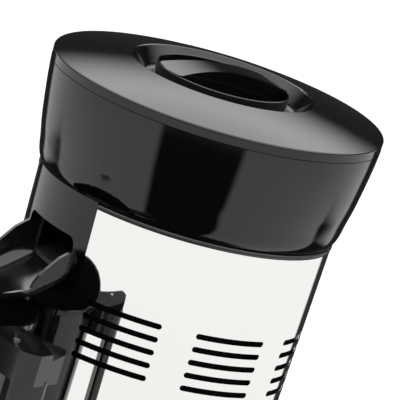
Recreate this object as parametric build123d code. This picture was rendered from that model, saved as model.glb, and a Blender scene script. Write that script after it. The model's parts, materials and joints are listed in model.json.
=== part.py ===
from build123d import *
import math
import os

# A round countertop centrifugal juicer with its juice jug.
# Frame: the machine axis is Z, the table is z = 0, the spout points to -Y. All sizes are in mm.

# Driving dimensions
PARTING = 190.0          # height of the bowl collar's lower edge
WRAP_R = 88.4            # outer radius of the steel wrap at PARTING
WRAP_TAPER = 0.033       # growth of that radius per mm of height
WRAP_T = 0.8
WRAP_BOTTOM = 14.0
WRAP_TOP = PARTING - 3.9
COLLAR_T = 2.7
COLLAR_TOP = PARTING + 60.2
LID_R = 99.5
LID_BAND_BOTTOM = COLLAR_TOP + 0.3
LID_EDGE = PARTING + 66.1
RECESS_R = 55.0
RECESS_RIM = PARTING + 74.8
RECESS_FLOOR = PARTING + 62.7
KNOB_R = 39.8
KNOB_RIM = PARTING + 74.85
KNOB_CROWN = 6.05
KNOB_BOTTOM = RECESS_FLOOR + 0.3
CHUTE_R = 37.5
CHUTE_T = 2.2
CHUTE_BOTTOM = 212.0
PLUNGER_R = 36.9
PLUNGER_BOTTOM = 213.5
NOTCH_HALF = 34.8        # half width of the wrap's front notch, which the panel drops into
NOTCH_BOTTOM = PARTING - 59.0
NOTCH_R = 14.0
PANEL_GAP = 0.4
PANEL_T = 2.2
SPOUT_HALF = 27.5
SPOUT_T = 2.2
SPOUT_Y = -124.0         # tip of the spout
OUTLET_TOP = PARTING - 25.5
BOWL_R = 80.0
BOWL_T = 2.0
BOWL_BOTTOM = 139.5
BOWL_FLOOR = 142.0
DECK_BOTTOM = 135.8
DECK_TOP = 138.3
HUB_WALL_R = 27.0
HUB_WALL_TOP = 168.0
SKIRT_BOTTOM = 176.0      # lower edge of the basket's splash skirt
TOWER_R = 25.0
TOWER_TOP = 173.0
SHAFT_R = 4.0
RUN_GAP = 0.04           # radial running clearance of the shaft in its bearings and seal
BEARING_R = 11.0
BEARING_W = 7.0
UPPER_BEARING = 119.0
LOWER_BEARING = 16.0
STATOR_R = 42.0
STATOR_BOTTOM = 45.0
STATOR_TOP = 90.0
ROTOR_R = 24.0
BOLT_PITCH_R = 38.0
BOLT_R = 2.0
JUG_Y = -151.5           # jug axis
JUG_R = 64.0
JUG_FOOT_R = 56.0
JUG_T = 2.2
JUG_RIM = PARTING - 72.5
JUG_FOOT = 0.3
SWITCH_Z = 60.0
GLAND_Z = 30.0
SLOT_HALF_ANGLE = 14.5   # from the middle of a slot to the centre of its round end
SLOT_W = 3.4
SLOT_ROWS = [PARTING - 56.7 - 8.04 * k for k in range(5)]
SLOT_GROUPS = [45, 90, 135, 180, 225, 270, 315]
ROCKER_TIP = 7.0         # tilt of the rocker from its middle position
LUG_PITCH_R = 66.0       # screws that hold the base plate

# Half section of the collar's outer face, as (radius, height)
COLLAR_OUTLINE = [(88.2, PARTING), (90.2, PARTING + 3.3), (92.2, PARTING + 11.8),
                  (94.1, PARTING + 20.5), (95.9, PARTING + 31.0), (98.0, PARTING + 46.0),
                  (99.5, COLLAR_TOP)]

# Side view of the spout's upper edge, as (y, height), from the tip back
SPOUT_BACK = -77.5
CHEEK_TOP = [(SPOUT_Y, PARTING - 66.4), (-118, PARTING - 63.2), (-112, PARTING - 61.2),
             (-107, PARTING - 60.0), (-104.3, PARTING - 58.3), (-103.4, PARTING - 54.5),
             (-101, PARTING - 50.0), (-98, PARTING - 46.0), (-95, PARTING - 42.5),
             (-91, PARTING - 38.0), (-86, PARTING - 34.5), (-82, PARTING - 32.0),
             (SPOUT_BACK, PARTING - 30.0)]

# Plan view of the jug's thumb deck
DECK_OUTLINE = [(55, -150.0), (101.5, -147.5), (105.5, -144.0), (108.0, -137.5), (96.0, -114.5),
                (90.5, -111.0), (84.0, -111.5), (58, -124.0)]


# Small helpers

def polygon(*points):
    """Closed face with straight sides."""
    return make_face(Polyline(*points, close=True).edges())


def turned(outline):
    """Solid of revolution about the machine axis of a face drawn in (radius, height)."""
    return revolve(Plane.XZ * outline, Axis.Z)


def ring(inner, outer, bottom, top):
    return turned(polygon((inner, bottom), (outer, bottom), (outer, top), (inner, top)))


def disc(radius, bottom, top, x=0.0, y=0.0):
    return Pos(x, y, (bottom + top) / 2) * Cylinder(radius, top - bottom)


def block(x, y, z):
    """Box between the given (low, high) pairs."""
    size = [pair[1] - pair[0] for pair in (x, y, z)]
    middle = [(pair[0] + pair[1]) / 2 for pair in (x, y, z)]
    return Pos(*middle) * Box(*size)


def around(shape, count, start=0.0):
    """Copies of a shape spaced evenly about the machine axis."""
    return [Rot(0, 0, start + 360.0 * i / count) * shape for i in range(count)]


def quarter_spots(radius):
    """Four places on a circle about the machine axis, 45 degrees off the X and Y axes."""
    angles = [math.radians(45 + 90 * i) for i in range(4)]
    return [(radius * math.cos(a), radius * math.sin(a)) for a in angles]


def wrap_radius(height):
    return WRAP_R + WRAP_TAPER * (height - PARTING)


def wrap_envelope(inset, bottom, top):
    """Solid cone that follows the wrap's outer face, moved in by inset."""
    return turned(polygon((0, bottom), (wrap_radius(bottom) - inset, bottom),
                          (wrap_radius(top) - inset, top), (0, top)))


def notch_outline(inset):
    """Front view of the wrap's notch: open at the top, with round lower corners."""
    half = NOTCH_HALF - inset
    low = NOTCH_BOTTOM + inset
    height = PARTING + 10 - low
    sheet = Pos(0, low + height / 2) * Rectangle(2 * half, height)
    return fillet(sheet.vertices().group_by(Axis.Y)[0], NOTCH_R - inset)


def notch_tool(inset):
    """The notch outline cut from the machine axis out through the front."""
    return extrude(Plane.XZ * notch_outline(inset), 120)


# Base

def make_foot_pad():
    return ring(69, 77, 0, 4)


def make_base_plate():
    plate = disc(78.8, 4, 7)
    posts = [disc(5, 7, 16, x, y) for x, y in quarter_spots(LUG_PITCH_R)]
    holes = [disc(1.75, 3, 17, x, y) for x, y in quarter_spots(LUG_PITCH_R)]
    vents = [Rot(0, 0, 60 * i) * block((22, 52), (-2, 2), (3, 8)) for i in range(6)]
    return plate + posts - holes - vents


def make_base_screws():
    """Self-tapping screws through the posts of the base plate."""
    shank = disc(1.75, 4.6, 20)
    head = disc(3.2, 16, 18.4)
    return Compound(children=[Pos(x, y, 0) * (shank + head) for x, y in quarter_spots(LUG_PITCH_R)])


def make_foot_ring():
    return turned(polygon((79, 4), (81.0, 4), (82.1, 5.1), (82.55, 13.9), (81.3, 13.9),
                          (81.3, 20), (79, 20)))


def slot_tool(height, angle):
    """Slot along the circumference with round ends; the angle is taken from the front towards +X."""
    bearing = angle - 90
    sweep = revolve(Plane.XZ * (Pos(86, height) * Rectangle(14, SLOT_W)), Axis.Z, 2 * SLOT_HALF_ANGLE)
    end = Pos(86, 0, height) * Rot(0, 90, 0) * Cylinder(SLOT_W / 2, 14)
    tools = [Rot(0, 0, bearing - SLOT_HALF_ANGLE) * sweep]
    tools += [Rot(0, 0, bearing + side * SLOT_HALF_ANGLE) * end for side in (-1, 1)]
    return tools


def make_steel_wrap():
    low = wrap_radius(WRAP_BOTTOM)
    high = wrap_radius(WRAP_TOP)
    shell = turned(polygon((low, WRAP_BOTTOM), (high, WRAP_TOP), (high - WRAP_T, WRAP_TOP),
                           (low - WRAP_T, WRAP_BOTTOM)))
    shell -= notch_tool(0)
    for angle in SLOT_GROUPS:
        for height in SLOT_ROWS:
            shell -= slot_tool(height, angle)
    shell -= block((-95, -70), (-9.2, 9.2), (SWITCH_Z - 12.2, SWITCH_Z + 12.2))
    shell -= Pos(0, 85, GLAND_Z) * Rot(90, 0, 0) * Cylinder(7.1, 20)
    return shell


def make_base_ring():
    """Trim ring on the wrap's upper edge, open at the front for the panel."""
    lip = turned(polygon((83.5, 178), (87.0, 178), (87.2, WRAP_TOP + 0.05), (88.5, WRAP_TOP + 0.05),
                         (88.8, 187.3), (88.7, 188.2), (88.3, 188.8), (87.6, 189.1), (83.5, 189.1)))
    return lip - block((-NOTCH_HALF, NOTCH_HALF), (-95, 0), (170, 195))


def make_motor_deck():
    """Inner housing under the juice bowl, with the tower that carries the shaft seal."""
    shell = turned(polygon((16.5, DECK_BOTTOM), (83.2, DECK_BOTTOM), (83.2, 186), (80.9, 186),
                           (80.9, DECK_TOP), (TOWER_R, DECK_TOP), (TOWER_R, TOWER_TOP),
                           (BEARING_R, TOWER_TOP), (BEARING_R, 167), (16.5, 167)))
    return shell - block((-32.5, 32.5), (-95, -76.8), (130, 195))


def make_vent_baffle():
    """Dark shell a few millimetres behind the wrap's vent slots, open below for the air."""
    bottom = SLOT_ROWS[-1] - 7
    return ring(81.4, 82.8, bottom, DECK_BOTTOM - 0.4) - block((-38.5, 38.5), (-95, 0), (bottom - 1, 140))


def make_shaft_seal():
    body = ring(SHAFT_R + RUN_GAP, BEARING_R, 167, 172.5)
    return body - ring(6.5, 9.5, 166, 170.5)


def make_bearing(bottom):
    """Deep-groove ball bearing, drawn as one closed ring with grooved shields."""
    body = ring(SHAFT_R + RUN_GAP, BEARING_R, bottom, bottom + BEARING_W)
    shield = ring(6.2, 9.0, 0, 0.4)
    return body - Pos(0, 0, bottom) * shield - Pos(0, 0, bottom + BEARING_W - 0.4) * shield


def make_motor_bracket(seat, plate_bottom, legs):
    """Round end bracket: bearing boss, four windows and four hollow legs along the given heights."""
    plate = disc(44, plate_bottom, plate_bottom + 4)
    boss = disc(16, seat - 1, seat + BEARING_W + 1)
    windows = around(block((19, 34), (-9, 9), (plate_bottom - 1, plate_bottom + 5)), 4)
    tubes = [disc(4.6, legs[0], legs[1], x, y) for x, y in quarter_spots(BOLT_PITCH_R)]
    bolt_holes = [disc(BOLT_R + 0.05, 10, 130, x, y) for x, y in quarter_spots(BOLT_PITCH_R)]
    bore = disc(BEARING_R, seat, seat + BEARING_W)
    shaft_hole = disc(SHAFT_R + 1.5, seat - 5, seat + BEARING_W + 5)
    return plate + boss + tubes - windows - bolt_holes - bore - shaft_hole


def make_stator_core():
    body = disc(STATOR_R, STATOR_BOTTOM, STATOR_TOP)
    flats = [block((side * 39 - 6 * (side < 0), side * 39 + 6 * (side > 0)), (-50, 50), (40, 95))
             for side in (-1, 1)]
    bore = disc(ROTOR_R + 0.5, 40, 95)
    pockets = [Rot(0, 0, 90 * k) * block((-33, -20), (-8, 8), (40, 95)) for k in (1, 3)]
    bolt_holes = [disc(BOLT_R + 0.05, 40, 95, x, y) for x, y in quarter_spots(BOLT_PITCH_R)]
    return body - flats - bore - pockets - bolt_holes


def make_stator_windings():
    """Field coils: a wound bundle above and below the core."""
    coil = ring(26, 33.0, 0, 9)
    return Compound(children=[Pos(0, 0, STATOR_TOP + 0.2) * coil, Pos(0, 0, STATOR_BOTTOM - 9.2) * coil])


def make_motor_bolts():
    bolt = disc(BOLT_R, 16.5, 127) + disc(3.6, 16.5, 20.0) + disc(3.4, 124.0, 127)
    return Compound(children=[Pos(x, y, 0) * bolt for x, y in quarter_spots(BOLT_PITCH_R)])


def make_damper_bushes():
    """Rubber bushes between the motor's upper bracket and the deck."""
    bush = disc(7, 128, DECK_BOTTOM) + disc(5, 126, 128)
    bush -= disc(3.5, 125, 128.5)
    return Compound(children=[Pos(x, y, 0) * bush for x, y in quarter_spots(BOLT_PITCH_R)])


def make_brush_holders():
    box = block((13.6, 31), (-5, 5), (101.5, 112.5)) - block((13, 32), (-3.2, 3.2), (103.3, 110.7))
    return Compound(children=[box, Rot(0, 0, 180) * box])


def make_carbon_brushes():
    brush = block((13.06, 27), (-3.1, 3.1), (103.4, 110.6))
    return Compound(children=[brush, Rot(0, 0, 180) * brush])


def make_circuit_board():
    board = block((-20, 20), (58, 59.6), (22, 62))
    choke = Pos(-8, 54.5, 34) * Rot(90, 0, 0) * Cylinder(6, 7)
    capacitor = block((2, 16), (51.5, 58), (28, 46))
    return board + choke + capacitor


def make_terminal_block():
    body = block((-14, 14), (62, 71), (40, 52))
    ways = [Pos(x, 66.5, 50) * Cylinder(2.2, 8) for x in (-8.5, 0, 8.5)]
    return body - ways


def make_cord_gland():
    """Grommet in the rear of the wrap that the mains lead would leave by."""
    hub = Pos(0, 81, GLAND_Z) * Rot(90, 0, 0) * Cylinder(7.0, 12)
    collar = Pos(0, 85.4, GLAND_Z) * Rot(90, 0, 0) * Cylinder(9.5, 2.6)
    back = Pos(0, 78.5, GLAND_Z) * Rot(90, 0, 0) * Cylinder(9.5, 3.0)
    bore = Pos(0, 81, GLAND_Z) * Rot(90, 0, 0) * Cylinder(3.6, 30)
    return hub + collar + back - bore


def make_switch_housing():
    """Snap-in switch: a bezel outside the wrap and a box inside it."""
    x_face = -(wrap_radius(SWITCH_Z) + 1.6)
    bezel = block((x_face, x_face + 2.8), (-11, 11), (SWITCH_Z - 14, SWITCH_Z + 14))
    bezel = fillet(bezel.edges().filter_by(Axis.X), 3)
    bezel -= wrap_envelope(0, SWITCH_Z - 30, SWITCH_Z + 30)
    box = block((x_face + 1, -62), (-9, 9), (SWITCH_Z - 12, SWITCH_Z + 12))
    room = block((x_face - 1, -73), (-7, 7), (SWITCH_Z - 10, SWITCH_Z + 10))
    return bezel + box - room


def make_rocker_button():
    """Rocker with a shallow V face, stored tipped to its off side about a level pin."""
    face_x = -(wrap_radius(SWITCH_Z) + 1.0)
    side = polygon((face_x - 2.2, -8.6), (face_x, 0), (face_x - 2.2, 8.6), (face_x + 5, 7.6),
                   (face_x + 8, 2), (face_x + 8, -2), (face_x + 5, -7.6))
    body = extrude(Plane.XZ * side, 6.6, both=True)
    pivot = Pos(face_x + 5, 0, 0)
    return Pos(0, 0, SWITCH_Z) * pivot * Rot(0, ROCKER_TIP, 0) * pivot.inverse() * body


def make_reed_switch():
    """Sensor behind the base ring that feels the bowl's magnet."""
    return Rot(0, 0, 20) * block((77.0, 80.6), (-6, 6), (DECK_TOP - 14, DECK_TOP - 3.0))


# Spinning parts

def make_drive_shaft():
    return disc(SHAFT_R, 14, 209)


def make_rotor_core():
    body = disc(ROTOR_R, STATOR_BOTTOM, STATOR_TOP)
    slots = around(block((19, 25), (-0.9, 0.9), (40, 95)), 12)
    return body - slots - disc(SHAFT_R, 40, 95)


def make_rotor_coils():
    coil = ring(8, 21, 0, 7)
    return Compound(children=[Pos(0, 0, STATOR_TOP) * coil, Pos(0, 0, STATOR_BOTTOM - 7) * coil])


def make_commutator():
    body = ring(SHAFT_R, 13, 100, 114)
    gaps = around(block((11.8, 14), (-0.3, 0.3), (101, 115)), 12)
    return body - gaps


def make_cooling_fan():
    hub = ring(SHAFT_R, 9, 27, 34)
    plate = ring(8, 32, 27, 28.4)
    blades = around(block((8.5, 31), (-0.8, 0.8), (28, 34)), 9)
    return hub + plate + blades


def make_drive_coupling():
    body = ring(SHAFT_R, 10, 178, 190)
    lugs = around(block((8, 13.5), (-3, 3), (184, 194)), 3)
    return body + lugs


def make_basket_hub():
    body = ring(SHAFT_R, 17, 190.2, 200.5)
    sockets = around(block((7.6, 14.1), (-3.4, 3.4), (189, 194.4)), 3)
    return body - sockets


def make_basket_base():
    """Floor of the filter basket, with a skirt that hangs over the bowl's inner wall."""
    floor = turned(polygon((SHAFT_R, 200.5), (63, 200.5), (64.6, 202.5), (64.6, 209), (62, 209),
                           (62, 203.2), (SHAFT_R, 203.2)))
    return floor + ring(32.5, 34.5, SKIRT_BOTTOM, 201)


def make_grating_disc():
    plate = ring(SHAFT_R, 58, 203.2, 204.2)
    tooth = Pos(0, 0, 204.9) * Cone(1.1, 0.25, 1.7)
    for row, radius in enumerate((18, 24, 30, 36, 42, 48, 54)):
        count = 8 + 4 * row
        plate += around(Pos(radius, 0, 0) * tooth, count, 180.0 * row / count)
    return plate


def make_hub_nut():
    body = ring(SHAFT_R, 9, 204.2, 208.5) + disc(9, 208.5, 209.0) + disc(6.5, 209.0, 210.6)
    flats = around(block((7.8, 12), (-12, 12), (204.0, 206.8)), 6)
    return body - flats - disc(SHAFT_R, 200, 209)


def make_filter_screen():
    return turned(polygon((62.6, 209), (63.3, 209), (71.3, 240), (70.6, 240)))


def make_basket_rim():
    return turned(polygon((69.4, 240), (73.2, 240), (73.8, 242), (73.2, 245), (71.4, 245), (70.4, 243)))


# Juice bowl

def make_bowl_collar():
    """Gloss collar: a flared cone whose lower edge curls in."""
    outside = Spline(*COLLAR_OUTLINE)
    inside = Spline(*[(r - COLLAR_T, z) for r, z in COLLAR_OUTLINE])
    top = Line(outside @ 1, inside @ 1)
    bottom = Line(inside @ 0, outside @ 0)
    return turned(make_face([outside.edge(), top.edge(), inside.edge(), bottom.edge()]))


def make_juice_bowl():
    """Ring-shaped trough that gathers the juice and lets it out at the front."""
    inner = BOWL_R - BOWL_T
    trough = turned(polygon((HUB_WALL_R, BOWL_BOTTOM), (BOWL_R, BOWL_BOTTOM), (BOWL_R, PARTING),
                            (85.3, PARTING), (85.3, PARTING + 2.5), (inner, PARTING + 2.5),
                            (inner, BOWL_FLOOR), (HUB_WALL_R + 2, BOWL_FLOOR),
                            (HUB_WALL_R + 2, HUB_WALL_TOP), (HUB_WALL_R, HUB_WALL_TOP)))
    outlet = block((-SPOUT_HALF + SPOUT_T, SPOUT_HALF - SPOUT_T), (-90, -60), (BOWL_FLOOR, OUTLET_TOP))
    return trough - outlet


def spout_trough(lift, half_width, corner):
    """Tall solid standing on the spout's floor line, with its two lower edges rounded."""
    floor = FilletPolyline((SPOUT_BACK, PARTING - 52.6 + lift), (-101.0, PARTING - 67.4 + lift),
                           (SPOUT_Y - 10, PARTING - 71.8 + lift), radius=40)
    walls = Polyline(floor @ 1, (SPOUT_Y - 10, PARTING), (SPOUT_BACK, PARTING), floor @ 0)
    body = extrude(Plane.YZ * make_face(floor.edges() + walls.edges()), half_width, both=True)
    low_edges = [e for e in body.edges() if abs(abs(e.center().X) - half_width) < 0.01
                 and abs((e @ 1).Y - (e @ 0).Y) > 1 and e.center().Z < PARTING - 20]
    return fillet(low_edges, corner)


def spout_limits():
    """Side view of the cheeks and plan view of the rounded tip, as one solid."""
    side = polygon(*CHEEK_TOP, (SPOUT_BACK, PARTING - 90), (SPOUT_Y, PARTING - 90))
    length = SPOUT_BACK + 20 - SPOUT_Y
    plan = Pos(0, SPOUT_Y + length / 2) * RectangleRounded(2 * SPOUT_HALF, length, 13)
    tall = extrude(Pos(0, 0, PARTING - 100) * plan, 120)
    return extrude(Plane.YZ * side, 60, both=True) & tall


def make_spout_envelope():
    return (spout_trough(0, SPOUT_HALF, 10) & spout_limits()) - disc(BOWL_R, 100, 200)


def make_spout():
    return make_spout_envelope() - spout_trough(SPOUT_T, SPOUT_HALF - SPOUT_T, 8)


def make_front_panel():
    """Gloss panel that fills the wrap's notch and frames the outlet."""
    top = PARTING - 0.05
    skin = wrap_envelope(0, 120, top) - wrap_envelope(PANEL_T, 119, top + 1)
    skin &= notch_tool(PANEL_GAP)
    opening = Pos(0, (OUTLET_TOP + 120) / 2) * RectangleRounded(2 * (SPOUT_HALF - SPOUT_T),
                                                                 OUTLET_TOP - 120, 5)
    low_limit = block((-60, 60), (-100, 0), (PARTING - 50, 200))
    skin -= extrude(Plane.XZ * opening, 120) & low_limit
    return skin - make_spout_envelope()


def make_bowl_magnet():
    """Magnet block that tells the base that the bowl is seated."""
    return Rot(0, 0, 20) * block((72.0, 77.6), (-5, 5), (BOWL_FLOOR, BOWL_FLOOR + 7))


# Lid and plunger

def dome_height(radius):
    """Height of the lid's outer face."""
    rise = (RECESS_RIM - LID_EDGE) / (1 - (RECESS_R / LID_R) ** 2)
    return LID_EDGE + rise * (1 - (radius / LID_R) ** 2)


def dome_arc(inner, outer, drop):
    """Arc along the lid's dome between two radii, lowered by drop."""
    middle = (inner + outer) / 2
    return ThreePointArc(*[(r, dome_height(r) - drop) for r in (inner, middle, outer)])


def make_lid_cover():
    skirt_out = 95.6
    skirt_in = 93.4
    wall_foot = (47.0, RECESS_FLOOR)
    crown = dome_arc(55.9, 98.4, 0)
    under = dome_arc(54.5, skirt_in, 2.7)
    edge = ThreePointArc(crown @ 1, (99.25, LID_EDGE - 0.1), (LID_R, LID_EDGE - 1.1))
    rim = ThreePointArc(crown @ 0, (55.1, dome_height(55.1) - 0.15), (54.4, dome_height(54.4) - 1.0))
    wall_start = Vector(49.3, RECESS_FLOOR + 2.2)
    toe = ThreePointArc(wall_start, (48.4, RECESS_FLOOR + 0.7), wall_foot)
    outline = [crown, edge,
               Polyline(edge @ 1, (99.3, LID_BAND_BOTTOM), (skirt_out, LID_BAND_BOTTOM),
                        (skirt_out, 244), (skirt_in, 244), under @ 1),
               under,
               Polyline(under @ 0, (46.6, RECESS_FLOOR - 2.6), (CHUTE_R, RECESS_FLOOR - 2.6),
                        (CHUTE_R, RECESS_FLOOR), wall_foot),
               toe, Line(toe @ 0, rim @ 1), rim]
    return turned(make_face([e for part in outline for e in part.edges()]))


def make_feed_chute():
    flange = RECESS_FLOOR - 2.6
    return turned(polygon((CHUTE_R, CHUTE_BOTTOM), (CHUTE_R + CHUTE_T, CHUTE_BOTTOM),
                          (CHUTE_R + CHUTE_T, flange - 2.4), (46.0, flange - 2.4), (46.0, flange),
                          (CHUTE_R, flange)))


def make_lid_seal():
    return turned(polygon((95.6, 245.2), (96.0, 245.8), (96.15, 246.7), (96.0, 247.6), (95.6, 248.2)))


def make_plunger_knob():
    """Round cap with a crowned bar across it and a finger pocket on each side."""
    body = disc(KNOB_R, KNOB_BOTTOM, KNOB_RIM + 20)
    crown = ThreePointArc((-KNOB_R, KNOB_RIM), (0, KNOB_RIM + KNOB_CROWN), (KNOB_R, KNOB_RIM))
    side = Polyline(crown @ 1, (KNOB_R, KNOB_BOTTOM - 5), (-KNOB_R, KNOB_BOTTOM - 5), crown @ 0)
    body &= extrude(Plane.YZ * make_face(crown.edges() + side.edges()), 60, both=True)
    waist_half = 9.3
    waist_sweep_r = 190.0
    plan = Circle(KNOB_R - 1.3) & Pos(waist_half + waist_sweep_r, 0) * Circle(waist_sweep_r)
    pocket = Pos(0, 0, KNOB_RIM - 8.5) * extrude(plan, 40)
    pocket = fillet(pocket.edges().group_by(Axis.Z)[0], 4)
    body -= [pocket, Rot(0, 0, 180) * pocket]
    return body + ring(30, 34.4, KNOB_BOTTOM - 5, KNOB_BOTTOM)


def make_plunger_body():
    tube = disc(PLUNGER_R, PLUNGER_BOTTOM, KNOB_BOTTOM)
    return tube - disc(PLUNGER_R - 2.4, PLUNGER_BOTTOM + 2.4, KNOB_BOTTOM + 1)


# Jug

def jug_envelope():
    return Pos(0, JUG_Y, 0) * turned(polygon((0, JUG_FOOT), (JUG_FOOT_R - 3, JUG_FOOT),
                                             (JUG_FOOT_R, JUG_FOOT + 4), (JUG_R - 0.6, JUG_RIM - 6),
                                             (JUG_R, JUG_RIM - 3), (JUG_R, JUG_RIM), (0, JUG_RIM)))


def make_jug_cup():
    hollow = turned(polygon((0, JUG_FOOT + 4.5), (JUG_FOOT_R - 5, JUG_FOOT + 4.5),
                            (JUG_FOOT_R - JUG_T, JUG_FOOT + 8), (JUG_R - JUG_T, JUG_RIM - 8),
                            (JUG_R - JUG_T, JUG_RIM + 1), (0, JUG_RIM + 1)))
    foot = ring(0.001, JUG_FOOT_R - 8, JUG_FOOT - 1, JUG_FOOT + 2)
    return jug_envelope() - Pos(0, JUG_Y, 0) * hollow - Pos(0, JUG_Y, 0) * foot


def make_jug_handle():
    """Thumb deck level with the rim, a skirt below it, and the grip down to a lower bridge."""
    plan = polygon(*DECK_OUTLINE)
    head = extrude(Pos(0, 0, JUG_RIM - 19) * plan, 18.8)
    grip = block((88, 103), (-146.5, -123), (22, JUG_RIM - 17))
    grip = fillet(grip.edges().filter_by(Axis.Z), 5)
    bridge = block((40, 98), (-144, -126), (22, 36))
    bridge = fillet(bridge.edges().filter_by(Axis.X), 4)
    tip_ramp = Pos(90, -112, JUG_RIM + 1.2) * Rot(16, 0, -14) * Box(40, 24, 10)
    rest = head + grip + bridge - jug_envelope()
    return rest - Pos(0, 0, 3.5) * tip_ramp - disc(1.6, JUG_RIM - 6, JUG_RIM + 1, 92.5, -122.0)


def make_handle_pin():
    return disc(2.0, JUG_RIM - 0.2, JUG_RIM + 0.6, 83.0, -140.5)


# Node name and the function that makes it
NODES = {
    "foot_pad": make_foot_pad,
    "base_plate": make_base_plate,
    "base_screws": make_base_screws,
    "foot_ring": make_foot_ring,
    "steel_wrap": make_steel_wrap,
    "base_ring": make_base_ring,
    "motor_deck": make_motor_deck,
    "vent_baffle": make_vent_baffle,
    "shaft_seal": make_shaft_seal,
    "upper_bearing": lambda: make_bearing(UPPER_BEARING),
    "lower_bearing": lambda: make_bearing(LOWER_BEARING),
    "upper_bracket": lambda: make_motor_bracket(UPPER_BEARING, 120, (STATOR_TOP, 121)),
    "lower_bracket": lambda: make_motor_bracket(LOWER_BEARING, 20, (23, STATOR_BOTTOM)),
    "stator_core": make_stator_core,
    "stator_windings": make_stator_windings,
    "motor_bolts": make_motor_bolts,
    "damper_bushes": make_damper_bushes,
    "brush_holders": make_brush_holders,
    "carbon_brushes": make_carbon_brushes,
    "circuit_board": make_circuit_board,
    "terminal_block": make_terminal_block,
    "cord_gland": make_cord_gland,
    "switch_housing": make_switch_housing,
    "reed_switch": make_reed_switch,
    "rocker_button": make_rocker_button,
    "drive_shaft": make_drive_shaft,
    "rotor_core": make_rotor_core,
    "rotor_coils": make_rotor_coils,
    "commutator": make_commutator,
    "cooling_fan": make_cooling_fan,
    "drive_coupling": make_drive_coupling,
    "basket_hub": make_basket_hub,
    "basket_base": make_basket_base,
    "grating_disc": make_grating_disc,
    "hub_nut": make_hub_nut,
    "filter_screen": make_filter_screen,
    "basket_rim": make_basket_rim,
    "bowl_collar": make_bowl_collar,
    "juice_bowl": make_juice_bowl,
    "front_panel": make_front_panel,
    "spout": make_spout,
    "bowl_magnet": make_bowl_magnet,
    "lid_cover": make_lid_cover,
    "feed_chute": make_feed_chute,
    "lid_seal": make_lid_seal,
    "plunger_knob": make_plunger_knob,
    "plunger_body": make_plunger_body,
    "jug_cup": make_jug_cup,
    "jug_handle": make_jug_handle,
    "handle_pin": make_handle_pin,
}

os.makedirs("parts", exist_ok=True)
for name, make in NODES.items():
    export_step(make(), f"parts/{name}.step")
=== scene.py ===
import json
import math

import bmesh
import bpy
from mathutils import Matrix, Vector


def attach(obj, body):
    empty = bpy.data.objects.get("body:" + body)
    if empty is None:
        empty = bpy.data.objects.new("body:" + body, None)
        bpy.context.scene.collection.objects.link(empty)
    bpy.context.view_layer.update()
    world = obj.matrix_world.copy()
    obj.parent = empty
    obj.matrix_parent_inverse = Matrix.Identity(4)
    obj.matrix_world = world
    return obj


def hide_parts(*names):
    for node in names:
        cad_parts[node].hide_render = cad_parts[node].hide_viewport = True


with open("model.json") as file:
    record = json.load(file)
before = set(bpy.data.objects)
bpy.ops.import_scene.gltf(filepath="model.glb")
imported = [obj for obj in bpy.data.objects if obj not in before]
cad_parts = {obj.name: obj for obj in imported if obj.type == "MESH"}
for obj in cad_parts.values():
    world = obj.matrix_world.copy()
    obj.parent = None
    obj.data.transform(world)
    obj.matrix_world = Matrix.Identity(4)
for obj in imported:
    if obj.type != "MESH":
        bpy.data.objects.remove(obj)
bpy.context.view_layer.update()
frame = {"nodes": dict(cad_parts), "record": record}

MM = 0.001

# Camera: distances in metres, angles in degrees, azimuths from -Y towards +X. It looks at the
# machine axis at AIM_HEIGHT, moved sideways and up in the picture by AIM_RIGHT and AIM_UP.
CAMERA_AZIMUTH = 55.39
CAMERA_ELEVATION = 13.44
CAMERA_ROLL = 16.95
CAMERA_DISTANCE = 5.22275
CAMERA_LENS = 810.0
CAMERA_SENSOR = 36.0
AIM_HEIGHT = 0.190
AIM_RIGHT = 0.00753
AIM_UP = -0.00114


# Node helpers

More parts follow.
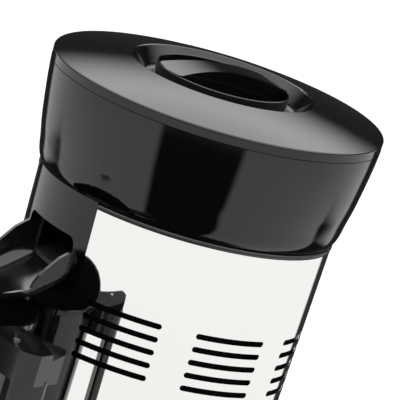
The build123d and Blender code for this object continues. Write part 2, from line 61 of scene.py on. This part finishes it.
class Shader:
    """A principled material with shortcuts for its procedural nodes."""

    def __init__(self, name, colour, roughness, metallic=0.0):
        self.material = bpy.data.materials.new(name)
        self.material.use_nodes = True
        self.tree = self.material.node_tree
        self.surface = self.tree.nodes["Principled BSDF"]
        self.place = self.tree.nodes.new("ShaderNodeTexCoord").outputs["Object"]
        self.set("Base Color", (*colour, 1.0))
        self.set("Roughness", roughness)
        self.set("Metallic", metallic)

    def set(self, socket, value):
        self.surface.inputs[socket].default_value = value
        return self

    def node(self, kind, **inputs):
        made = self.tree.nodes.new(kind)
        for socket, value in inputs.items():
            self.feed(made.inputs[socket.replace("_", " ")], value)
        return made

    def feed(self, socket, value):
        if isinstance(value, bpy.types.NodeSocket):
            self.tree.links.new(value, socket)
        else:
            socket.default_value = value

    def stretched(self, x, y, z):
        """The object's coordinates in metres, scaled along each axis."""
        return self.node("ShaderNodeMapping", Vector=self.place, Scale=(x, y, z)).outputs["Vector"]

    def noise(self, scale, detail=3.0, place=None):
        found = self.node("ShaderNodeTexNoise", Vector=place or self.place, Scale=scale, Detail=detail)
        return found.outputs["Fac"]

    def cells(self, scale):
        return self.node("ShaderNodeTexVoronoi", Vector=self.place, Scale=scale).outputs["Distance"]

    def spread(self, value, low, high, source_low=0.3, source_high=0.7):
        """Maps a factor onto the range from low to high."""
        made = self.node("ShaderNodeMapRange", Value=value)
        for socket, number in (("From Min", source_low), ("From Max", source_high),
                               ("To Min", low), ("To Max", high)):
            made.inputs[socket].default_value = number
        return made.outputs["Result"]

    def blend(self, factor, first, second):
        made = self.tree.nodes.new("ShaderNodeMix")
        made.data_type = "RGBA"
        self.feed(made.inputs[0], factor)
        made.inputs[6].default_value = (*first, 1.0)
        made.inputs[7].default_value = (*second, 1.0)
        return made.outputs[2]

    def colour(self, factor, first, second):
        self.feed(self.surface.inputs["Base Color"], self.blend(factor, first, second))
        return self

    def gloss(self, factor, low, high):
        self.feed(self.surface.inputs["Roughness"], self.spread(factor, low, high))
        return self

    def bump(self, height, distance, strength=1.0):
        """Adds relief, distance in metres, on top of any relief already there."""
        socket = self.surface.inputs["Normal"]
        made = self.node("ShaderNodeBump", Height=height, Distance=distance, Strength=strength)
        if socket.links:
            self.tree.links.new(socket.links[0].from_socket, made.inputs["Normal"])
        self.feed(socket, made.outputs["Normal"])
        return self


def shade(colour, factor):
    return tuple(min(1.0, c * factor) for c in colour)


def moulded_plastic(name, colour, low, high, grain=0.000006):
    """Moulded plastic: faint cloudy tone, slightly uneven gloss and a fine surface grain."""
    s = Shader(name, colour, low)
    s.colour(s.noise(30.0, 4.0), shade(colour, 0.8), shade(colour, 1.25))
    s.gloss(s.noise(55.0, 5.0), low, high)
    return s.bump(s.noise(2200.0, 2.0), grain).material


def lacquer_black(name, level, low, high, ripple=0.0000035):
    """High-gloss black with the slight ripple of a moulded or lacquered face."""
    colour = (level, level, level * 1.05)
    s = Shader(name, colour, low)
    s.colour(s.noise(24.0, 3.0), shade(colour, 0.85), shade(colour, 1.2))
    s.gloss(s.noise(90.0, 6.0), low, high)
    return s.bump(s.noise(260.0, 2.0), ripple).material


def polished_steel():
    """Polished sheet steel with a faint upright polishing grain."""
    s = Shader("polished_steel", (0.9, 0.895, 0.88), 0.025, 1.0)
    grain = s.noise(1.0, 4.0, s.stretched(2600.0, 2600.0, 22.0))
    cloud = s.noise(14.0, 3.0)
    s.colour(cloud, (0.885, 0.88, 0.866), (0.93, 0.925, 0.912))
    s.gloss(grain, 0.018, 0.035)
    return s.bump(grain, 0.0000002, 0.6).material


def ground_steel(name, colour, low, high, scratches=1800.0):
    """Turned or ground metal: rings of fine tool marks round the machine axis."""
    s = Shader(name, colour, low, 1.0)
    marks = s.noise(1.0, 4.0, s.stretched(60.0, 60.0, scratches))
    s.colour(s.noise(40.0, 3.0), shade(colour, 0.85), shade(colour, 1.08))
    s.gloss(marks, low, high)
    return s.bump(marks, 0.000004).material


def cast_metal(name, colour):
    s = Shader(name, colour, 0.5, 1.0)
    s.colour(s.noise(120.0, 6.0), shade(colour, 0.75), shade(colour, 1.1))
    s.gloss(s.noise(200.0, 4.0), 0.42, 0.62)
    return s.bump(s.noise(900.0, 6.0), 0.00006).material


def layered_core():
    """Stack of varnished laminations seen edge on."""
    s = Shader("core_laminations", (0.25, 0.25, 0.26), 0.45, 0.8)
    wave = s.node("ShaderNodeTexWave", Vector=s.stretched(0.0, 0.0, 1.0), Scale=320.0, Distortion=0.2)
    wave.bands_direction = "Z"
    s.colour(wave.outputs["Fac"], (0.13, 0.13, 0.14), (0.3, 0.3, 0.31))
    s.gloss(s.noise(150.0, 3.0), 0.35, 0.55)
    return s.bump(wave.outputs["Fac"], 0.00006).material


def wound_copper(name, first, second, scale):
    """Enamelled wire laid side by side."""
    s = Shader(name, first, 0.3, 0.85)
    wave = s.node("ShaderNodeTexWave", Vector=s.place, Scale=scale, Distortion=0.6)
    wave.bands_direction = "Z"
    s.colour(wave.outputs["Fac"], first, second)
    s.gloss(s.noise(200.0, 3.0), 0.25, 0.42)
    return s.bump(wave.outputs["Fac"], 0.0002).material


def circuit_green():
    """Solder mask with pale pads."""
    s = Shader("circuit_green", (0.03, 0.2, 0.06), 0.35)
    pads = s.spread(s.cells(320.0), 1.0, 0.0, 0.16, 0.2)
    s.colour(pads, (0.02, 0.16, 0.05), (0.55, 0.55, 0.5))
    s.gloss(s.noise(80.0, 3.0), 0.28, 0.45)
    return s.bump(pads, 0.00002).material


def dull_rubber():
    s = Shader("rubber", (0.03, 0.03, 0.03), 0.8)
    s.colour(s.noise(60.0, 5.0), (0.022, 0.022, 0.022), (0.042, 0.042, 0.041))
    s.gloss(s.noise(90.0, 4.0), 0.7, 0.9)
    return s.bump(s.noise(1500.0, 4.0), 0.00003).material


def carbon_block():
    s = Shader("carbon", (0.05, 0.05, 0.05), 0.6)
    s.colour(s.noise(700.0, 6.0), (0.025, 0.025, 0.027), (0.075, 0.075, 0.078))
    s.gloss(s.noise(400.0, 4.0), 0.5, 0.75)
    return s.bump(s.noise(1800.0, 5.0), 0.00003).material


def perforated_steel():
    """Fine sieve sheet: staggered dark holes in bright steel."""
    s = Shader("basket_steel", (0.75, 0.75, 0.74), 0.25, 1.0)
    holes = s.spread(s.cells(1100.0), 0.0, 1.0, 0.24, 0.3)
    s.colour(holes, (0.02, 0.02, 0.02), (0.74, 0.74, 0.73))
    s.gloss(s.noise(140.0, 4.0), 0.2, 0.34)
    return s.bump(holes, 0.0001).material


def vent_painted_shade():
    """Painted shade: near-black matt with almost no gloss on the hidden side of the vents, so the slots
    read as dark.
    """
    s = Shader("vent_painted_shade", (0.002, 0.002, 0.002), 0.9)
    s.set("Specular IOR Level", 0.05)
    s.colour(s.noise(60.0, 4.0), (0.0012, 0.0012, 0.0012), (0.0026, 0.0026, 0.0027))
    return s.bump(s.noise(1500.0, 3.0), 0.00002).material


SLOT_MATERIALS = {
    "rubber": dull_rubber(),
    "base_plastic": moulded_plastic("base_plastic", (0.014, 0.014, 0.0145), 0.28, 0.4, 0.000012),
    "polished_steel": polished_steel(),
    "gloss_black": lacquer_black("gloss_black", 0.0012, 0.03, 0.06),
    "lid_black": lacquer_black("lid_black", 0.0035, 0.045, 0.085),
    "spout_black": lacquer_black("spout_black", 0.006, 0.08, 0.15),
    "bowl_plastic": moulded_plastic("bowl_plastic", (0.03, 0.03, 0.031), 0.34, 0.48),
    "jug_black": lacquer_black("jug_black", 0.006, 0.07, 0.13),
    "steel_fixings": ground_steel("steel_fixings", (0.6, 0.6, 0.6), 0.25, 0.4),
    "bearing_steel": ground_steel("bearing_steel", (0.7, 0.7, 0.7), 0.14, 0.28),
    "cast_bracket": cast_metal("cast_bracket", (0.6, 0.6, 0.61)),
    "core_laminations": layered_core(),
    "copper_windings": wound_copper("copper_windings", (0.42, 0.14, 0.05), (0.7, 0.3, 0.12), 420.0),
    "commutator_copper": wound_copper("commutator_copper", (0.62, 0.3, 0.14), (0.8, 0.42, 0.2), 140.0),
    "carbon": carbon_block(),
    "circuit_green": circuit_green(),
    "switch_plastic": moulded_plastic("switch_plastic", (0.02, 0.02, 0.02), 0.3, 0.45, 0.000015),
    "rocker_plastic": moulded_plastic("rocker_plastic", (0.03, 0.03, 0.03), 0.15, 0.26, 0.000004),
    "fan_plastic": moulded_plastic("fan_plastic", (0.35, 0.35, 0.33), 0.4, 0.55),
    "basket_steel": perforated_steel(),
    "basket_plastic": moulded_plastic("basket_plastic", (0.06, 0.06, 0.06), 0.35, 0.5),
}

for part in frame["record"]["subparts"]:
    finishes = frame["nodes"][part["node"]].data.materials
    finishes.clear()
    finishes.append(SLOT_MATERIALS[part["material_slot"]])

# The shell behind the vent slots gets painted shade, so it reads as plain darkness
frame["nodes"]["vent_baffle"].data.materials[0] = vent_painted_shade()


# The plunger's cap: a cup with a flat round rim and a crowned bar across it

KNOB_R = 39.8 * MM
KNOB_WALL = 1.3 * MM
KNOB_CENTRE_R = 0.5 * MM       # small round face that closes the middle of a disc
KNOB_BOTTOM = 253.0 * MM
KNOB_FLOOR = 256.35 * MM
KNOB_RIM = 264.85 * MM
KNOB_CROWN = 6.05 * MM         # rise of the bar's middle above the rim
BAR_HALF = 9.3 * MM            # half the bar's width at its waist
BAR_SWEEP_R = 190.0 * MM       # radius of the bar's long sides
BAR_END_INSET = 0.3 * MM       # how far the bar's ends stay inside the cup's outer wall
BAR_END_HALF = 0.01 * MM       # half width of the bar's very ends
BAR_ROOT = 1.0 * MM            # depth of the bar's sides below the cup's floor
BAR_ACROSS = [-1.0, -1.0, -0.5, 0.0, 0.5, 1.0, 1.0]
EDGE_ROUND = 0.6 * MM
EDGE_ANGLE = 40.0
MERGE_DISTANCE = 0.001 * MM
KNOB_STEPS = 96
BAR_STEPS = 48


def grid_faces(rows, columns, closed=False):
    """Quads between the points of a grid laid out row by row."""
    last = columns if closed else columns - 1
    return [(r * columns + c, r * columns + (c + 1) % columns,
             (r + 1) * columns + (c + 1) % columns, (r + 1) * columns + c)
            for r in range(rows - 1) for c in range(last)]


def knob_piece(name, points, faces):
    """Smooth-shaded object with rounded edges."""
    mesh = bpy.data.meshes.new(name)
    mesh.from_pydata(points, [], faces)
    shape = bmesh.new()
    shape.from_mesh(mesh)
    bmesh.ops.remove_doubles(shape, verts=shape.verts, dist=MERGE_DISTANCE)
    bmesh.ops.recalc_face_normals(shape, faces=shape.faces)
    shape.to_mesh(mesh)
    shape.free()
    for face in mesh.polygons:
        face.use_smooth = True
    mesh.materials.append(SLOT_MATERIALS["lid_black"])
    piece = bpy.data.objects.new(name, mesh)
    bpy.context.collection.objects.link(piece)
    edges = piece.modifiers.new("edges", "BEVEL")
    edges.width = EDGE_ROUND
    edges.segments = 3
    edges.limit_method = "ANGLE"
    edges.angle_limit = math.radians(EDGE_ANGLE)
    edges.harden_normals = True
    return piece


def make_knob_cup():
    """Round cup: bottom, outer wall, flat rim, inner wall and floor, turned about the axis."""
    inside = KNOB_R - KNOB_WALL
    profile = [(KNOB_CENTRE_R, KNOB_BOTTOM), (KNOB_R, KNOB_BOTTOM), (KNOB_R, KNOB_RIM),
               (inside, KNOB_RIM), (inside, KNOB_FLOOR), (KNOB_CENTRE_R, KNOB_FLOOR)]
    turns = [2 * math.pi * step / KNOB_STEPS for step in range(KNOB_STEPS)]
    points = [(r * math.cos(t), r * math.sin(t), z) for r, z in profile for t in turns]
    faces = grid_faces(len(profile), KNOB_STEPS, closed=True)
    faces += [tuple(range(KNOB_STEPS)), tuple(range(len(points) - KNOB_STEPS, len(points)))]
    return knob_piece("knob_cup", points, faces)


def make_knob_bar():
    """Waisted bar whose top is an arc from rim to rim."""
    reach = KNOB_R - BAR_END_INSET
    columns = len(BAR_ACROSS)
    points = []
    for step in range(BAR_STEPS + 1):
        y = reach * (2 * step / BAR_STEPS - 1)
        half = BAR_HALF + BAR_SWEEP_R - math.sqrt(BAR_SWEEP_R ** 2 - y ** 2)
        half = min(half, math.sqrt(reach ** 2 - y ** 2) + BAR_END_HALF)
        top = KNOB_RIM + KNOB_CROWN * (1 - (y / KNOB_R) ** 2)
        for place, share in enumerate(BAR_ACROSS):
            foot = place in (0, columns - 1)
            points.append((share * half, y, KNOB_FLOOR - BAR_ROOT if foot else top))
    faces = grid_faces(BAR_STEPS + 1, columns)
    faces += [(r * columns, (r + 1) * columns, (r + 2) * columns - 1, (r + 1) * columns - 1)
              for r in range(BAR_STEPS)]
    return knob_piece("knob_bar", points, faces)


def make_knob():
    for piece in (make_knob_cup(), make_knob_bar()):
        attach(piece, "plunger")
        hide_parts("plunger_knob")


make_knob()


# Floor, light and camera

FLOOR_HALF = 6.0


def make_floor():
    corners = [(x * FLOOR_HALF, y * FLOOR_HALF, 0) for x, y in ((-1, -1), (1, -1), (1, 1), (-1, 1))]
    mesh = bpy.data.meshes.new("floor")
    mesh.from_pydata(corners, [], [(0, 1, 2, 3)])
    floor = bpy.data.objects.new("floor", mesh)
    bpy.context.collection.objects.link(floor)
    s = Shader("floor", (0.9, 0.9, 0.9), 0.9)
    s.set("Specular IOR Level", 0.0)
    s.colour(s.noise(0.8, 2.0), (0.89, 0.89, 0.89), (0.92, 0.92, 0.92))
    mesh.materials.append(s.material)
    floor.visible_glossy = False


# The studio as reflections see it, in degrees. Two equal softboxes stand low on either side of
# STUDIO_FRONT, an azimuth from -Y towards +X, a pale table lies round the front, and one wide panel
# hangs overhead. The rest of the room is nearly dark.
STUDIO_FRONT = 55.0
SOFTBOX_LEVEL = 1.1
SOFTBOX_NEAR = 30.0          # from STUDIO_FRONT to a softbox's near and far edges
SOFTBOX_FAR = 120.0
TABLE_LEVEL = 0.95
TABLE_HALF = 150.0           # from STUDIO_FRONT to the table's end
OVERHEAD_LEVEL = 2.5
ROOM_LEVEL = 0.03
SOFT_EDGE = 3.0

# Elevations between which one part of the studio fades into the next
SOFTBOX_FOOT = (-70.0, -60.0)
TABLE_EDGE = (-25.0, -20.0)
HORIZON = (-3.0, 3.0)
OVERHEAD_EDGE = (15.0, 35.0)

DIFFUSE_LIGHT = 1.3          # even light that matt surfaces receive from all sides


def make_studio():
    world = bpy.data.worlds.new("studio")
    bpy.context.scene.world = world
    world.use_nodes = True
    tree = world.node_tree
    tree.nodes.clear()

    def math_node(operation, *values):
        made = tree.nodes.new("ShaderNodeMath")
        made.operation = operation
        for socket, value in zip(made.inputs, values):
            if isinstance(value, bpy.types.NodeSocket):
                tree.links.new(value, socket)
            else:
                socket.default_value = value
        return made.outputs[0]

    def smooth(value, low, high):
        made = tree.nodes.new("ShaderNodeMapRange")
        made.interpolation_type = "SMOOTHSTEP"
        tree.links.new(value, made.inputs["Value"])
        made.inputs["From Min"].default_value = low
        made.inputs["From Max"].default_value = high
        return made.outputs["Result"]

    def pick(factor, first, second):
        """The first value where factor is 0, the second where it is 1."""
        return math_node("ADD", math_node("MULTIPLY", math_node("SUBTRACT", 1.0, factor), first),
                         math_node("MULTIPLY", factor, second))

    direction = tree.nodes.new("ShaderNodeTexCoord").outputs["Generated"]
    split = tree.nodes.new("ShaderNodeSeparateXYZ")
    tree.links.new(direction, split.inputs[0])
    x, y, z = split.outputs
    azimuth = math_node("ARCTAN2", x, math_node("MULTIPLY", y, -1.0))
    elevation = math_node("DEGREES", math_node("ARCSINE", z))
    turn = math_node("SUBTRACT", azimuth, math.radians(STUDIO_FRONT))
    away = math_node("DEGREES", math_node("ARCCOSINE", math_node("COSINE", turn)))

    def beyond(angle):
        """1 where a direction is more than this angle away from the studio's front."""
        return smooth(away, angle - SOFT_EDGE, angle + SOFT_EDGE)

    softboxes = math_node("SUBTRACT", beyond(SOFTBOX_NEAR), beyond(SOFTBOX_FAR))
    softboxes = math_node("MULTIPLY", softboxes, smooth(elevation, *SOFTBOX_FOOT))
    table = math_node("SUBTRACT", 1.0, beyond(TABLE_HALF))
    low = pick(smooth(elevation, *TABLE_EDGE), math_node("MULTIPLY", softboxes, SOFTBOX_LEVEL),
               math_node("MULTIPLY", table, TABLE_LEVEL))
    overhead = math_node("MULTIPLY", smooth(elevation, *OVERHEAD_EDGE), OVERHEAD_LEVEL)
    seen = math_node("ADD", pick(smooth(elevation, *HORIZON), low, overhead), ROOM_LEVEL)

    path = tree.nodes.new("ShaderNodeLightPath")
    level = pick(path.outputs["Is Glossy Ray"], DIFFUSE_LIGHT, seen)
    background = tree.nodes.new("ShaderNodeBackground")
    tree.links.new(level, background.inputs["Strength"])
    background.inputs["Color"].default_value = (1.0, 0.998, 0.99, 1.0)
    out = tree.nodes.new("ShaderNodeOutputWorld")
    tree.links.new(background.outputs[0], out.inputs["Surface"])


def make_camera():
    azimuth, elevation, roll = (math.radians(a) for a in (CAMERA_AZIMUTH, CAMERA_ELEVATION, CAMERA_ROLL))
    back = Vector((math.sin(azimuth) * math.cos(elevation), -math.cos(azimuth) * math.cos(elevation),
                   math.sin(elevation)))
    level = Vector((math.cos(azimuth), math.sin(azimuth), 0))
    upright = back.cross(level)
    right = math.cos(roll) * level + math.sin(roll) * upright
    up = math.cos(roll) * upright - math.sin(roll) * level
    eye = Vector((0, 0, AIM_HEIGHT)) + AIM_RIGHT * right + AIM_UP * up + CAMERA_DISTANCE * back
    camera = bpy.data.objects.new("camera", bpy.data.cameras.new("camera"))
    bpy.context.collection.objects.link(camera)
    camera.data.lens = CAMERA_LENS
    camera.data.sensor_width = CAMERA_SENSOR
    camera.data.clip_start = 0.1
    camera.data.clip_end = 50.0
    rotation = Matrix((right, up, back)).transposed().to_4x4()
    camera.matrix_world = Matrix.Translation(eye) @ rotation
    bpy.context.scene.camera = camera


make_floor()
make_studio()
make_camera()
bpy.context.scene.view_settings.view_transform = "Standard"
